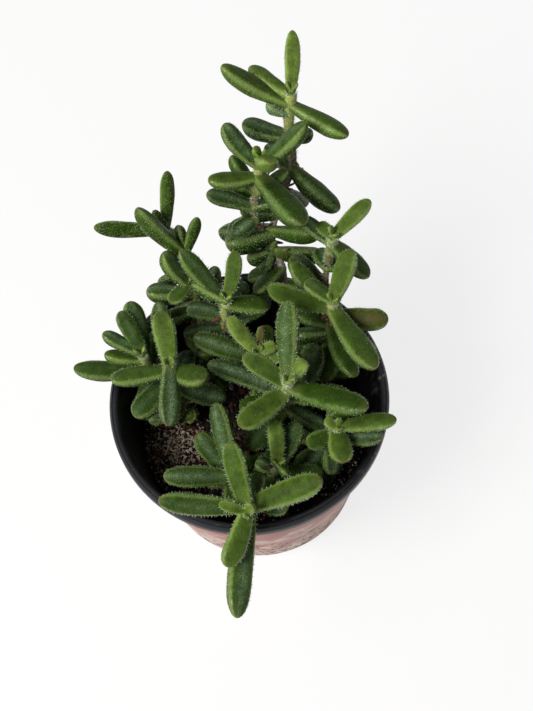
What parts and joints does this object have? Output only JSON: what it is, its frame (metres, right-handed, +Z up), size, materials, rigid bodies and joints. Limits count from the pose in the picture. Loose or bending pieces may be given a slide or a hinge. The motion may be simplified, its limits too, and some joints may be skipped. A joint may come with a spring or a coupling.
{
  "type": "potted delosperma",
  "caption": "Small succulent with plump bristly leaves in opposite pairs on branched stems, in a thin two-tone nursery pot of gritty soil.",
  "frame": {"origin": "centre of the pot's flat base, on its underside", "axes": "+Z up along the pot's axis; the tall shoot leans out over the rim towards +Y; +X is to the right for a viewer at -Y"},
  "size_m": [0.0947, 0.1527, 0.126],
  "materials": {
    "pot_plastic": "thin formed polypropylene, terracotta outside and black inside, scaled and dusty",
    "potting_soil": "dark humus with pale grit and bark bits",
    "stem_bark": "rough grey-brown stem bark, green and hairy near the tips",
    "young_leaf": "satin leaf skin with glistening dots and pale bristles",
    "mature_leaf": "satin leaf skin with glistening dots and pale bristles"
  },
  "bodies": {
    "root": {"back_branch_pair_1": "mature_leaf", "back_branch_pair_2": "mature_leaf", "back_branch_pair_3": "mature_leaf", "back_branch_rosette": "young_leaf", "back_stem": "stem_bark", "centre_pair_1": "mature_leaf", "centre_pair_2": "mature_leaf", "centre_pair_3": "mature_leaf", "centre_pair_4": "mature_leaf", "centre_rosette": "young_leaf", "centre_stem": "stem_bark", "front_low_pair_1": "mature_leaf", "front_low_pair_2": "mature_leaf", "front_low_rosette": "young_leaf", "front_pair_1": "mature_leaf", "front_rosette": "young_leaf", "front_small_pair_1": "mature_leaf", "front_small_rosette": "young_leaf", "front_small_stem": "stem_bark", "front_stem": "stem_bark", "left_low_pair_1": "mature_leaf", "left_low_pair_2": "mature_leaf", "left_low_pair_3": "mature_leaf", "left_low_rosette": "young_leaf", "left_pair_1": "mature_leaf", "left_pair_2": "mature_leaf", "left_rear_low_pair_1": "mature_leaf", "left_rear_low_rosette": "young_leaf", "left_rear_pair_1": "mature_leaf", "left_rear_pair_2": "mature_leaf", "left_rear_rosette": "young_leaf", "left_rear_stem": "stem_bark", "left_rosette": "young_leaf", "left_stem": "stem_bark", "middle_pair_1": "mature_leaf", "middle_rear_pair_1": "mature_leaf", "middle_rear_pair_2": "mature_leaf", "middle_rear_rosette": "young_leaf", "middle_rear_stem": "stem_bark", "middle_rosette": "young_leaf", "pot": "pot_plastic", "right_pair_1": "mature_leaf", "right_pair_2": "mature_leaf", "right_rear_low_pair_1": "mature_leaf", "right_rear_low_pair_2": "mature_leaf", "right_rear_low_pair_3": "mature_leaf", "right_rear_low_rosette": "young_leaf", "right_rear_pair_1": "mature_leaf", "right_rear_pair_2": "mature_leaf", "right_rear_rosette": "young_leaf", "right_rear_stem": "stem_bark", "right_rosette": "young_leaf", "right_stem": "stem_bark", "soil": "potting_soil", "tall_back_pair_1": "mature_leaf", "tall_back_pair_2": "mature_leaf", "tall_back_pair_3": "mature_leaf", "tall_back_pair_4": "mature_leaf", "tall_back_pair_5": "mature_leaf", "tall_back_rosette": "young_leaf"}
  },
  "joints": []
}
